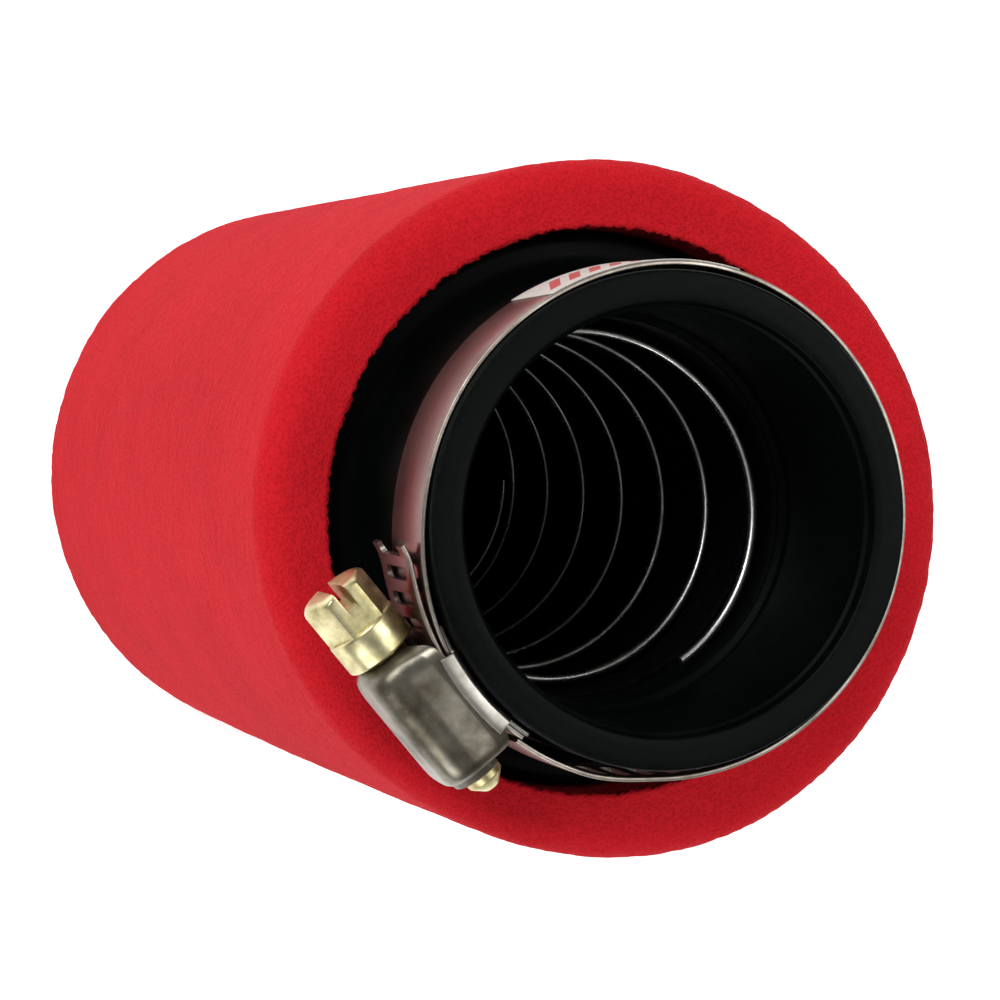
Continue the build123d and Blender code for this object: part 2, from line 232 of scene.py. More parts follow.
def foam_surface_tree():
    """Open cells in a surface: pits between struts, on top of slow lumps, along the normal."""
    tree, given, result = geometry_group("foam_surface", [
        ("Cells per metre", FLOAT, 700.0), ("Pit depth", FLOAT, 0.12 * MM),
        ("Lumps per metre", FLOAT, 60.0), ("Lump height", FLOAT, 0.5 * MM),
        ("Material", MATERIAL, None),
    ])
    cells = add_node(tree, "ShaderNodeTexVoronoi", {
        "Scale": given["Cells per metre"], "Smoothness": 0.35}, feature="SMOOTH_F1")
    pit = add_node(tree, "ShaderNodeMapRange", {
        "Value": cells.outputs["Distance"],
        "From Min": 0.15, "From Max": 0.75, "To Min": -1.0, "To Max": 0.35})
    lumps = add_node(tree, "ShaderNodeTexNoise", {"Scale": given["Lumps per metre"], "Detail": 3.0})
    slow = calc(tree, "MULTIPLY", calc(tree, "SUBTRACT", lumps.outputs[0], 0.55), given["Lump height"])
    high = calc(tree, "MULTIPLY_ADD", pit.outputs["Result"], given["Pit depth"], slow)
    normal = add_node(tree, "GeometryNodeInputNormal")
    along = add_node(tree, "ShaderNodeVectorMath", {
        0: normal.outputs["Normal"], "Scale": high}, operation="SCALE")
    moved = add_node(tree, "GeometryNodeSetPosition", {
        "Geometry": given["Geometry"], "Offset": along.outputs[0]})
    painted = add_node(tree, "GeometryNodeSetMaterial", {
        "Geometry": moved.outputs[0], "Material": given["Material"]})
    tree.links.new(painted.outputs[0], result["Geometry"])
    return tree


def open_cell_group():
    """Open-cell foam seen close: bright struts, painted shade in the pits, slow cloudy change of tone."""
    tree, given, result = node_group("ShaderNodeTree", "open_cells", [
        ("Cells per metre", FLOAT, 1900.0), ("Pit Shade Color", COLOR, None), ("Strut Color", COLOR, None),
        ("Clouds per metre", FLOAT, 45.0),
    ], [("Color", COLOR), ("Height", FLOAT), ("Roughness", FLOAT)])
    place = add_node(tree, "ShaderNodeTexCoord").outputs["Object"]
    cells = add_node(tree, "ShaderNodeTexVoronoi", {"Vector": place, "Scale": given["Cells per metre"]})
    grain = add_node(tree, "ShaderNodeTexNoise", {
        "Vector": place, "Scale": given["Cells per metre"], "Detail": 2.0})
    rim = add_node(tree, "ShaderNodeMapRange", {
        "Value": cells.outputs["Distance"], "From Min": 0.1, "From Max": 0.65})
    height = calc(tree, "MULTIPLY_ADD", grain.outputs[0], 0.7, rim.outputs["Result"])
    clouds = add_node(tree, "ShaderNodeTexNoise", {
        "Vector": place, "Scale": given["Clouds per metre"], "Detail": 5.0, "Roughness": 0.62})
    tone = add_node(tree, "ShaderNodeMapRange", {
        "Value": clouds.outputs[0], "From Min": 0.3, "From Max": 0.7, "To Min": -0.22, "To Max": 0.22})
    share = calc(tree, "MULTIPLY_ADD", height, 0.62, tone.outputs["Result"])
    # painted shade: the lower a place lies in the cells, the nearer it comes to the pit shade colour; the
    # clouds shift the tone at random
    mix = add_node(tree, "ShaderNodeMix", {
        "Factor": share, MIX_A: given["Pit Shade Color"], MIX_B: given["Strut Color"]},
        data_type="RGBA", clamp_factor=True)
    rough = add_node(tree, "ShaderNodeMapRange", {"Value": height, "To Min": 0.98, "To Max": 0.8})
    tree.links.new(mix.outputs[MIX_RESULT], result["Color"])
    tree.links.new(height, result["Height"])
    tree.links.new(rough.outputs["Result"], result["Roughness"])
    return tree


open_cells = open_cell_group()


def finished_material(name, group, bump_distance, bump_strength, inputs, surface_values):
    """A material whose colour, roughness and bump come from a shared effect group."""
    material = bpy.data.materials.new(name)
    material.use_nodes = True
    tree = material.node_tree
    effect = add_node(tree, "ShaderNodeGroup", node_tree=group)
    for label, value in inputs.items():
        effect.inputs[label].default_value = value
    bump = add_node(tree, "ShaderNodeBump", {
        "Strength": bump_strength, "Distance": bump_distance, "Height": effect.outputs["Height"]})
    surface = tree.nodes["Principled BSDF"]
    tree.links.new(effect.outputs["Color"], surface.inputs["Base Color"])
    tree.links.new(effect.outputs["Roughness"], surface.inputs["Roughness"])
    tree.links.new(bump.outputs["Normal"], surface.inputs["Normal"])
    for label, value in surface_values.items():
        surface.inputs[label].default_value = value
    return material


# The pit colour is the red darkened: painted shade in cells too fine for the mesh.
red_foam = finished_material("red_foam", open_cells, 0.2 * MM, 0.4, {
    "Cells per metre": 2500.0,
    "Pit Shade Color": (0.43, 0.007, 0.012, 1),
    "Strut Color": (0.62, 0.013, 0.022, 1),
}, {
    "Sheen Weight": 0.02, "Sheen Roughness": 0.5, "Sheen Tint": (1.0, 0.45, 0.55, 1),
    "Specular IOR Level": 0.05,
})
foam_surface = foam_surface_tree()


def foam_finish(piece, node, slot, material, **values):
    """Give a foam piece its cells and material, hang it on the root body, and hide the CAD node it stands
    for.
    """
    run_nodes(piece, foam_surface, Material=material, **values)
    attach(piece, "root")
    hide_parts(node)


foam_finish(foam, "outer_foam", "red_foam", red_foam)

# ---- blind end ---------------------------------------------------------------------------------
# A disc of the same red foam is bonded into the closed end of the sleeve. Its edge shows as a fine
# round seam.
POLE = 0.05 * MM             # radius of the small hole that is then closed on the axis
END_EDGE = 0.6 * MM
END_RIM = 4 * MM             # the edge of the disc that is finely divided
END_AROUND = 300
end_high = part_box("outer_foam_cap")[1]


def close_poles(piece):
    """Fill the small holes that a turned outline leaves on the axis."""
    work = bmesh.new()
    work.from_mesh(piece.data)
    bmesh.ops.holes_fill(work, edges=[e for e in work.edges if e.is_boundary])
    bmesh.ops.recalc_face_normals(work, faces=work.faces)
    work.to_mesh(piece.data)
    work.free()


end_outline = spaced(rounded([
    (POLE, 0.0, 0),
    (end_high.x, 0.0, END_EDGE),
    (end_high.x, END_RIM, 0),
], 0.3 * MM), 0.8 * MM) + [(end_high.x, end_high.z), (POLE, end_high.z)]
foam_end = grid_piece("foam_end_disc", turned(end_outline, END_AROUND))
close_poles(foam_end)
foam_finish(foam_end, "outer_foam_cap", "red_foam", red_foam, Pit_depth=0.1 * MM, Lump_height=0.5 * MM)

# ---- inner foam --------------------------------------------------------------------------------
# The second stage is coarser black foam: a sleeve inside the red one, and a plug across its blind
# end. Both are die-cut and bonded, and the wire support keeps the bore open.
inner_low, inner_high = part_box("inner_foam")
plug_low, plug_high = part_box("inner_foam_cap")
INNER_BORE = plug_high.x + 0.2 * MM
PLUG_OVERLAP = 3 * MM        # the finely divided bore goes on past the plug by this
INNER_AROUND = 150
BORE_STEP = 1.1 * MM
PLUG_AROUND = 120
PLUG_STEP = 1.2 * MM
# Its pit colour is painted shade in the cells too.
black_foam = finished_material("black_foam", open_cells, 0.4 * MM, 0.8, {
    "Cells per metre": 1100.0,
    "Pit Shade Color": (0.0008, 0.0008, 0.0008, 1),
    "Strut Color": (0.005, 0.005, 0.005, 1),
}, {"Specular IOR Level": 0.04})
inner_outline = spaced([(INNER_BORE, inner_high.z), (INNER_BORE, plug_high.z - PLUG_OVERLAP)], BORE_STEP)
inner_outline += spaced([
    (INNER_BORE, plug_high.z - PLUG_OVERLAP),
    (INNER_BORE, inner_low.z),
    (inner_high.x, inner_low.z),
    (inner_high.x, inner_high.z),
    (INNER_BORE, inner_high.z),
], 8 * MM)[1:-1]
inner_foam = grid_piece("inner_foam_sleeve", turned(inner_outline, INNER_AROUND), wrap_rows=True)
foam_finish(inner_foam, "inner_foam", "black_foam", black_foam,
            Cells_per_metre=420.0, Pit_depth=0.3 * MM, Lump_height=0.4 * MM)

plug_corners = [(plug_high.x, plug_low.z), (plug_high.x, plug_high.z), (POLE, plug_high.z)]
plug_outline = [(POLE, plug_low.z)] + spaced(plug_corners, PLUG_STEP)
inner_plug = grid_piece("inner_foam_plug", turned(plug_outline, PLUG_AROUND))
close_poles(inner_plug)
foam_finish(inner_plug, "inner_foam_cap", "black_foam", black_foam,
            Cells_per_metre=420.0, Pit_depth=0.3 * MM, Lump_height=0.3 * MM)

# ---- wire support ------------------------------------------------------------------------------
# A coil of bright drawn steel wire stands inside the black foam. Its first turn is closed, to stand
# flat on the plug, and the open turns climb left-handed towards the neck.
spring_low, spring_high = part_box("support_spring")
WIRE_RADIUS = 0.6 * MM
WIRE_PITCH = 17.1 * MM
WIRE_OPEN_TURNS = 6.16
CLOSED_PITCH = 5 * MM
WIRE_STEPS = 900


def wire_support_tree():
    """A wire coil about Z: one closed turn, then open turns, swept with a round section."""
    tree, given, result = geometry_group("wire_support", [
        ("Coil radius", FLOAT, None), ("Wire radius", FLOAT, None), ("Foot height", FLOAT, None),
        ("Closed pitch", FLOAT, None), ("Open pitch", FLOAT, None), ("Open turns", FLOAT, None),
        ("Material", MATERIAL, None),
    ])
    line = add_node(tree, "GeometryNodeCurvePrimitiveLine")
    steps = add_node(tree, "GeometryNodeResampleCurve", {"Curve": line.outputs[0], "Count": WIRE_STEPS})
    factor = add_node(tree, "GeometryNodeSplineParameter").outputs["Factor"]
    turns = calc(tree, "MULTIPLY", factor, calc(tree, "ADD", given["Open turns"], 1.0))
    angle = calc(tree, "MULTIPLY", turns, -tau)
    open_part = calc(tree, "MAXIMUM", calc(tree, "SUBTRACT", turns, 1.0), 0.0)
    more_pitch = calc(tree, "SUBTRACT", given["Open pitch"], given["Closed pitch"])
    height = calc(tree, "MULTIPLY_ADD", turns, given["Closed pitch"], given["Foot height"])
    height = calc(tree, "MULTIPLY_ADD", open_part, more_pitch, height)
    place = add_node(tree, "ShaderNodeCombineXYZ", {
        0: calc(tree, "MULTIPLY", calc(tree, "COSINE", angle), given["Coil radius"]),
        1: calc(tree, "MULTIPLY", calc(tree, "SINE", angle), given["Coil radius"]),
        2: height,
    })
    coil = add_node(tree, "GeometryNodeSetPosition", {
        "Geometry": steps.outputs[0], "Position": place.outputs[0]})
    section = add_node(tree, "GeometryNodeCurvePrimitiveCircle", {
        "Resolution": 12, "Radius": given["Wire radius"]})
    wire = add_node(tree, "GeometryNodeCurveToMesh", {
        "Curve": coil.outputs[0], "Profile Curve": section.outputs[0], "Fill Caps": True})
    painted = add_node(tree, "GeometryNodeSetMaterial", {
        "Geometry": wire.outputs[0], "Material": given["Material"]})
    tree.links.new(painted.outputs[0], result["Geometry"])
    return tree


def worked_metal_group():
    """Worked metal: fine lines of rolling or grinding, and duller tarnished patches."""
    tree, given, result = node_group("ShaderNodeTree", "worked_metal", [
        ("Bright Color", COLOR, None), ("Dull Color", COLOR, None), ("Line Scale", VECTOR, None),
        ("Patches per metre", FLOAT, 150.0), ("Smooth", FLOAT, 0.2), ("Rough", FLOAT, 0.45),
    ], [("Color", COLOR), ("Height", FLOAT), ("Roughness", FLOAT)])
    place = add_node(tree, "ShaderNodeTexCoord").outputs["Object"]
    stretched = add_node(tree, "ShaderNodeVectorMath", {
        0: place, 1: given["Line Scale"]}, operation="MULTIPLY")
    lines = add_node(tree, "ShaderNodeTexNoise", {
        "Vector": stretched.outputs[0], "Scale": 1.0, "Detail": 3.0})
    patches = add_node(tree, "ShaderNodeTexNoise", {
        "Vector": place, "Scale": given["Patches per metre"], "Detail": 5.0, "Roughness": 0.6})
    dull = add_node(tree, "ShaderNodeMapRange", {
        "Value": patches.outputs[0], "From Min": 0.38, "From Max": 0.66})
    mix = add_node(tree, "ShaderNodeMix", {
        "Factor": dull.outputs["Result"], MIX_A: given["Bright Color"], MIX_B: given["Dull Color"]},
        data_type="RGBA")
    line_tone = add_node(tree, "ShaderNodeMapRange", {
        "Value": lines.outputs[0], "From Min": 0.3, "From Max": 0.7, "To Min": 0.82, "To Max": 1.08})
    shaded = add_node(tree, "ShaderNodeVectorMath", {
        0: mix.outputs[MIX_RESULT], "Scale": line_tone.outputs["Result"]}, operation="SCALE")
    dull_share = calc(tree, "MULTIPLY", dull.outputs["Result"], 0.75)
    share = calc(tree, "MULTIPLY_ADD", lines.outputs[0], 0.3, dull_share)
    rough = add_node(tree, "ShaderNodeMapRange", {
        "Value": share, "To Min": given["Smooth"], "To Max": given["Rough"]})
    tree.links.new(shaded.outputs[0], result["Color"])
    tree.links.new(lines.outputs[0], result["Height"])
    tree.links.new(rough.outputs["Result"], result["Roughness"])
    return tree


worked_metal = worked_metal_group()
spring_steel = finished_material("spring_steel", worked_metal, 0.01 * MM, 0.3, {
    "Bright Color": (0.74, 0.75, 0.72, 1), "Dull Color": (0.42, 0.44, 0.40, 1),
    "Line Scale": (900, 900, 900), "Smooth": 0.22, "Rough": 0.42,
}, {"Metallic": 1.0})
wire_support = new_piece("wire_support", [(0, 0, 0)], [], [])
run_nodes(wire_support, wire_support_tree(),
          Coil_radius=spring_high.x - WIRE_RADIUS, Wire_radius=WIRE_RADIUS,
          Foot_height=spring_low.z + WIRE_RADIUS, Closed_pitch=CLOSED_PITCH,
          Open_pitch=WIRE_PITCH, Open_turns=WIRE_OPEN_TURNS, Material=spring_steel)
wire_support.data.polygons.foreach_set("use_smooth", [True] * len(wire_support.data.polygons))
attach(wire_support, "root")
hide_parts("support_spring")

# ---- rubber neck -------------------------------------------------------------------------------
# One moulding of soft black rubber: the tube that is clamped on the intake, a ledge in the bore that
# the intake stops against, and a broad shoulder that the foam is bonded to. The mould leaves it
# satin, with its edges a little worn.
neck_low, neck_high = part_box("rubber_neck")
MOUTH_Z = neck_high.z
FLANGE_Z = neck_low.z
SHOULDER_Z = FLANGE_Z + 6 * MM
NECK_RADIUS = 30.0 * MM
NECK_BORE = 25.4 * MM
SHOULDER_RADIUS = 35.4 * MM
LEDGE_BORE = 24.6 * MM
LEDGE_Z = MOUTH_Z - 27.4 * MM
NECK_AROUND = 240
NECK_STEP = 1.2 * MM
neck_outline = rounded([
    (LEDGE_BORE, FLANGE_Z, 0),
    (SHOULDER_RADIUS, FLANGE_Z, 0.4 * MM),
    (SHOULDER_RADIUS, SHOULDER_Z, 1.5 * MM),
    (NECK_RADIUS, SHOULDER_Z, 3.0 * MM),
    (NECK_RADIUS, MOUTH_Z, 0.45 * MM),
    (26.1 * MM, MOUTH_Z, 0.3 * MM),
    (25.9 * MM, MOUTH_Z - 1.5 * MM, 0.3 * MM),
    (NECK_BORE, MOUTH_Z - 1.9 * MM, 0.3 * MM),
    (NECK_BORE, LEDGE_Z, 0),
    (LEDGE_BORE, LEDGE_Z, 0),
    (LEDGE_BORE, FLANGE_Z, 0),
], 0.25 * MM)
neck = grid_piece("neck_rubber", turned(spaced(neck_outline, NECK_STEP)[:-1], NECK_AROUND), wrap_rows=True)


def moulded_group():
    """Moulded skin: fine stipple, with slow dusty patches that are paler and rougher."""
    tree, given, result = node_group("ShaderNodeTree", "moulded_skin", [
        ("Clean Color", COLOR, None), ("Dusty Color", COLOR, None), ("Grains per metre", FLOAT, 2500.0),
        ("Patches per metre", FLOAT, 60.0), ("Smooth", FLOAT, 0.4), ("Rough", FLOAT, 0.6),
    ], [("Color", COLOR), ("Height", FLOAT), ("Roughness", FLOAT)])
    place = add_node(tree, "ShaderNodeTexCoord").outputs["Object"]
    grain = add_node(tree, "ShaderNodeTexNoise", {
        "Vector": place, "Scale": given["Grains per metre"], "Detail": 2.0})
    patches = add_node(tree, "ShaderNodeTexNoise", {
        "Vector": place, "Scale": given["Patches per metre"], "Detail": 6.0, "Roughness": 0.65})
    dust = calc(tree, "MULTIPLY_ADD", grain.outputs[0], 0.5, patches.outputs[0])
    mask = add_node(tree, "ShaderNodeMapRange", {"Value": dust, "From Min": 0.55, "From Max": 1.0})
    mix = add_node(tree, "ShaderNodeMix", {
        "Factor": mask.outputs["Result"], MIX_A: given["Clean Color"], MIX_B: given["Dusty Color"]},
        data_type="RGBA")
    rough = add_node(tree, "ShaderNodeMapRange", {
        "Value": mask.outputs["Result"], "To Min": given["Smooth"], "To Max": given["Rough"]})
    tree.links.new(mix.outputs[MIX_RESULT], result["Color"])
    tree.links.new(grain.outputs[0], result["Height"])
    tree.links.new(rough.outputs["Result"], result["Roughness"])
    return tree


moulded_skin = moulded_group()
black_rubber = finished_material("black_rubber", moulded_skin, 0.05 * MM, 0.35, {
    "Clean Color": (0.0006, 0.0011, 0.0010, 1), "Dusty Color": (0.0026, 0.0042, 0.0039, 1),
    "Smooth": 0.36, "Rough": 0.58,
}, {"Specular IOR Level": 0.06})
neck.data.materials.append(black_rubber)
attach(neck, "root")
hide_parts("rubber_neck")

# ---- clamp band --------------------------------------------------------------------------------
# A strip of rolled stainless steel with its edges rolled smooth and slots punched through it for
# the worm. Its inner end is held under the housing, and after one turn round the neck it climbs on
# to that end. Loose on the neck, it bears on one side of it.
screw_joint = next(j for j in frame["record"]["behaviour"]["joints"] if j["name"] == "screw_turn")
CLAMP_Z = screw_joint["pos_m"][2]
SCREW_OUT = hypot(*screw_joint["pos_m"][:2])
headwards = -Vector(screw_joint["axis"])
outwards = Vector((-headwards.y, headwards.x, 0))
CLAMP_ANGLE = atan2(outwards.y, outwards.x) % tau
BAND_WIDTH = 12.7 * MM
BAND_THICKNESS = 0.6 * MM
BAND_RADIUS = 31.2 * MM
OUTER_LAYER = 31.85 * MM
SLOT_PITCH = 3.2 * MM
OUTER_END = CLAMP_ANGLE + radians(14.8)
RAMP_START = CLAMP_ANGLE + radians(31.5)
RAMP_END = CLAMP_ANGLE + radians(49.5)
TONGUE_END = CLAMP_ANGLE + radians(15.5) + tau
BAND_SLOTS = 15


def strip_tree():
    """A punched metal strip: a rounded flat section swept along a line, and slots cut at a pitch."""
    tree, given, result = geometry_group("punched_strip", [
        ("Width", FLOAT, None), ("Thickness", FLOAT, None), ("Edge round", FLOAT, 0.2 * MM),
        ("Slot length", FLOAT, 8.4 * MM), ("Slot width", FLOAT, 1.7 * MM),
        ("Slot pitch", FLOAT, SLOT_PITCH),
        ("First slot", FLOAT, None), ("Slots", "NodeSocketInt", 1),
        ("Material", MATERIAL, None), ("Edge material", MATERIAL, None),
    ])
    path = add_node(tree, "GeometryNodeMeshToCurve", {"Mesh": given["Geometry"]})
    level = add_node(tree, "GeometryNodeSetCurveNormal", {"Curve": path.outputs[0]}, mode="Z_UP")
    flat = add_node(tree, "GeometryNodeCurvePrimitiveQuadrilateral", {
        "Width": given["Thickness"], "Height": given["Width"]})
    section = add_node(tree, "GeometryNodeFilletCurve", {
        "Curve": flat.outputs[0], "Radius": given["Edge round"],
        "Limit Radius": True, "Count": 3}, mode="POLY")
    strip = add_node(tree, "GeometryNodeCurveToMesh", {
        "Curve": level.outputs[0], "Profile Curve": section.outputs[0], "Fill Caps": True})
    distance = calc(tree, "MULTIPLY_ADD", add_node(tree, "GeometryNodeInputIndex").outputs[0],
                    given["Slot pitch"], given["First slot"])
    sample = add_node(tree, "GeometryNodeSampleCurve", {
        "Curves": level.outputs[0], "Length": distance}, mode="LENGTH")
    points = add_node(tree, "GeometryNodePoints", {
        "Count": given["Slots"], "Position": sample.outputs["Position"]})
    facing = add_node(tree, "FunctionNodeAlignRotationToVector", {"Vector": sample.outputs["Tangent"]},
                      axis="Y", pivot_axis="Z")
    slot_shape = add_node(tree, "GeometryNodeCurvePrimitiveQuadrilateral", {
        "Width": given["Slot width"], "Height": given["Slot length"]})
    slot_round = add_node(tree, "GeometryNodeFilletCurve", {
        "Curve": slot_shape.outputs[0], "Radius": calc(tree, "MULTIPLY", given["Slot width"], 0.499),
        "Limit Radius": True, "Count": 6}, mode="POLY")
    through = calc(tree, "MULTIPLY", given["Thickness"], 2.0)
    reach = add_node(tree, "ShaderNodeCombineXYZ", {0: through})
    back = add_node(tree, "ShaderNodeCombineXYZ", {0: calc(tree, "MULTIPLY", through, -1.0)})
    depth = add_node(tree, "GeometryNodeCurvePrimitiveLine", {
        "Start": back.outputs[0], "End": reach.outputs[0]})
    punch = add_node(tree, "GeometryNodeCurveToMesh", {
        "Curve": depth.outputs[0], "Profile Curve": slot_round.outputs[0], "Fill Caps": True})
    punches = add_node(tree, "GeometryNodeInstanceOnPoints", {
        "Points": points.outputs[0], "Instance": punch.outputs[0], "Rotation": facing.outputs[0]})
    solid_punches = add_node(tree, "GeometryNodeRealizeInstances", {"Geometry": punches.outputs[0]})
    cut = add_node(tree, "GeometryNodeMeshBoolean", {
        "Mesh 1": strip.outputs[0], "Mesh 2": solid_punches.outputs[0]},
        operation="DIFFERENCE", solver="EXACT")
    painted = add_node(tree, "GeometryNodeSetMaterial", {
        "Geometry": cut.outputs[0], "Material": given["Material"]})
    # faces that face across the band's width, its rolled edges, take the edge material: a painted highlight
    facing_way = add_node(tree, "GeometryNodeInputNormal")
    normal = add_node(tree, "ShaderNodeSeparateXYZ", {0: facing_way.outputs[0]})
    on_edge = add_node(tree, "FunctionNodeCompare", {
        0: calc(tree, "ABSOLUTE", normal.outputs["Z"]), 1: 0.35}, operation="GREATER_THAN")
    edged = add_node(tree, "GeometryNodeSetMaterial", {
        "Geometry": painted.outputs[0], "Selection": on_edge.outputs[0],
        "Material": given["Edge material"]})
    tree.links.new(edged.outputs[0], result["Geometry"])
    return tree


def bare_line(name, points):
    """A bare line of edges through points."""
    return new_piece(name, points, [(i, i + 1) for i in range(len(points) - 1)], [])


def soft_shading(piece, angle=35):
    """Smooth faces with sharp creases kept."""
    piece.data.polygons.foreach_set("use_smooth", [True] * len(piece.data.polygons))
    piece.data.set_sharp_from_angle(angle=radians(angle))


punched_strip = strip_tree()
# Both colours of the band's faces are tinted pink: a painted reflection of the red foam, on the steel's own
# tone and its duller patches.
rolled_stainless = finished_material("rolled_stainless", worked_metal, 0.012 * MM, 0.5, {
    "Bright Color": (0.31, 0.215, 0.203, 1), "Dull Color": (0.18, 0.115, 0.105, 1),
    "Line Scale": (60, 60, 3800), "Patches per metre": 90.0, "Smooth": 0.27, "Rough": 0.42,
}, {"Metallic": 1.0})
# The rolled edges get a lighter steel without the pink: the steel's own colour, made lighter as a painted
# highlight along the edges.
bare_edge = finished_material("bare_edge", worked_metal, 0.012 * MM, 0.5, {
    "Bright Color": (0.46, 0.42, 0.37, 1), "Dull Color": (0.27, 0.23, 0.19, 1),
    "Line Scale": (900, 900, 900), "Smooth": 0.3, "Rough": 0.45,
}, {"Metallic": 1.0})

REST_ANGLE = radians(142)    # the loose band bears on the neck here, and rides a little further up
REST_SPREAD = radians(80)
REST_SINK = 0.85 * MM
REST_RISE = 2.2 * MM


def rest_share(angle):
    """How fully the loose band bears on the neck at an angle, from 0 to 1."""
    off = abs((angle - REST_ANGLE + pi) % tau - pi) / REST_SPREAD
    return 0.5 + 0.5 * cos(pi * min(off, 1) ** 1.6)


BAND_STEPS = 290
band_points = []
for i in range(BAND_STEPS + 1):
    angle = OUTER_END + (TONGUE_END - OUTER_END) * i / BAND_STEPS
    down = min(max((angle - RAMP_START) / (RAMP_END - RAMP_START), 0), 1)
    radius = OUTER_LAYER + (BAND_RADIUS - OUTER_LAYER) * down * down * (3 - 2 * down)
    radius -= REST_SINK * rest_share(angle)
    height = CLAMP_Z + REST_RISE * rest_share(angle)
    band_points.append((radius * cos(angle), radius * sin(angle), height))
band = bare_line("neck_band", band_points)
run_nodes(band, punched_strip, Width=BAND_WIDTH, Thickness=BAND_THICKNESS,
          First_slot=OUTER_LAYER * (RAMP_START - OUTER_END),
          Slot_pitch=SLOT_PITCH * BAND_RADIUS / OUTER_LAYER,
          Slots=BAND_SLOTS, Material=rolled_stainless, Edge_material=bare_edge)
soft_shading(band)
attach(band, "clamp")
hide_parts("clamp_band")

# ---- tail of the band --------------------------------------------------------------------------
# The slotted end of the same strip. It runs under the worm and out past the screw's head, and it is
# sheared off through a slot, which leaves a fork with slightly curled prongs.
TAIL_START = CLAMP_ANGLE + radians(8.5)
TAIL_BEND = CLAMP_ANGLE - radians(27)
FIRST_TAIL_SLOT = OUTER_LAYER * (TAIL_START - CLAMP_ANGLE) - SLOT_PITCH
TAIL_SLOTS = 8
PRONG = 0.5 * MM             # past the middle of the slot that is cut through
TAIL_LENGTH = FIRST_TAIL_SLOT + SLOT_PITCH * (TAIL_SLOTS - 1) + PRONG
CURL_START = 1.9 * MM        # past the bend
CURL = 70                    # per metre
TAIL_STEP = 0.4 * MM
tail_points = []
bend = Vector((cos(TAIL_BEND), sin(TAIL_BEND)))
onwards = Vector((bend.y, -bend.x))
for i in range(round(TAIL_LENGTH / TAIL_STEP) + 1):
    run = min(i * TAIL_STEP, TAIL_LENGTH)
    angle = TAIL_START - run / OUTER_LAYER
    if angle > TAIL_BEND:
        tail_points.append((OUTER_LAYER * cos(angle), OUTER_LAYER * sin(angle), CLAMP_Z))
    else:
        past = run - OUTER_LAYER * (TAIL_START - TAIL_BEND)
        curl = max(past - CURL_START, 0) ** 2 * CURL
        tail_points.append((*(bend * (OUTER_LAYER + curl) + onwards * past), CLAMP_Z))
tail = bare_line("band_fork", tail_points)
run_nodes(tail, punched_strip, Width=BAND_WIDTH, Thickness=BAND_THICKNESS, First_slot=FIRST_TAIL_SLOT,
          Slot_pitch=SLOT_PITCH, Slots=TAIL_SLOTS, Material=rolled_stainless, Edge_material=bare_edge)
soft_shading(tail)
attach(tail, "tail")
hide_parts("band_tail")

# ---- worm housing ------------------------------------------------------------------------------
# A cover drawn from steel sheet: flat feet, sides that step in over the worm, a rounded back, and
# ends that neck down to the screw. It holds the screw's worm down on the band.
HOUSING_HALF_LENGTH = 8.7 * MM
HOUSING_WALL = 0.6 * MM


def on_clamp(across, out, along):
    """A place from the clamp's own measures: across the band, out from the neck, to the head."""
    return outwards * out + headwards * along + Vector((0, 0, CLAMP_Z - across))


cover_section = spaced(rounded([
    (7.25 * MM, 31.3 * MM, 0),
    (6.95 * MM, 33.0 * MM, 1.0 * MM),
    (5.6 * MM, 36.4 * MM, 4.0 * MM),
    (5.3 * MM, 40.35 * MM, 2.9 * MM),
    (-5.3 * MM, 40.35 * MM, 2.9 * MM),
    (-5.6 * MM, 36.4 * MM, 4.0 * MM),
    (-6.95 * MM, 33.0 * MM, 1.0 * MM),
    (-7.25 * MM, 31.3 * MM, 0),
], 0.3 * MM), 0.5 * MM)
# along the screw: how far the section has drawn in to a round neck, and that neck's radius
stations = [
    (-9.5, 1.0, 2.75), (-9.6, 1.0, 3.2), (-9.4, 1.0, 3.6), (-8.7, 1.0, 3.75), (-8.45, 0.93, 3.85),
    (-8.3, 0.72, 3.95), (-8.1, 0.46, 4.0), (-7.7, 0.24, 4.0), (-7.2, 0.11, 4.0), (-6.6, 0.04, 4.0),
    (-5.8, 0.0, 4.0), (-3.0, -0.012, 4.0), (0.0, -0.016, 4.0), (3.0, -0.012, 4.0), (5.8, 0.0, 4.0),
    (6.6, 0.04, 4.0), (7.2, 0.11, 4.0), (7.7, 0.22, 4.0), (8.15, 0.42, 4.0), (8.5, 0.7, 4.0),
    (8.85, 0.95, 3.95), (9.1, 1.0, 3.7), (9.2, 1.0, 3.15),
]
cover_rows = []
for along, drawn_in, neck_radius in stations:
    row = []
    for x, y in cover_section:
        angle = atan2(y - SCREW_OUT, x)
        round_x = neck_radius * MM * cos(angle)
        round_y = SCREW_OUT + neck_radius * MM * sin(angle)
        row.append(on_clamp(x + (round_x - x) * drawn_in, y + (round_y - y) * drawn_in, along * MM))
    cover_rows.append(row)
housing = grid_piece("worm_housing", cover_rows, wrap_columns=False)


def thicken(piece, thickness, offset, edge):
    """Give a sheet its thickness and break its sharp edges."""
    shell = piece.modifiers.new("thickness", "SOLIDIFY")
    shell.thickness = thickness
    shell.offset = offset
    shell.use_even_offset = True
    broken = piece.modifiers.new("broken_edges", "BEVEL")
    broken.width = edge
    broken.segments = 2
    broken.limit_method = "ANGLE"
    broken.angle_limit = radians(40)
    freeze(piece)
    soft_shading(piece)


thicken(housing, HOUSING_WALL, -1, 0.12 * MM)
drawn_steel = finished_material("drawn_steel", worked_metal, 0.03 * MM, 0.5, {
    "Bright Color": (0.24, 0.225, 0.18, 1), "Dull Color": (0.075, 0.062, 0.042, 1),
    "Line Scale": (700, 700, 250), "Patches per metre": 130.0, "Smooth": 0.28, "Rough": 0.5,
}, {"Metallic": 1.0})
housing.data.materials.append(drawn_steel)
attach(housing, "clamp")
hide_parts("clamp_housing")

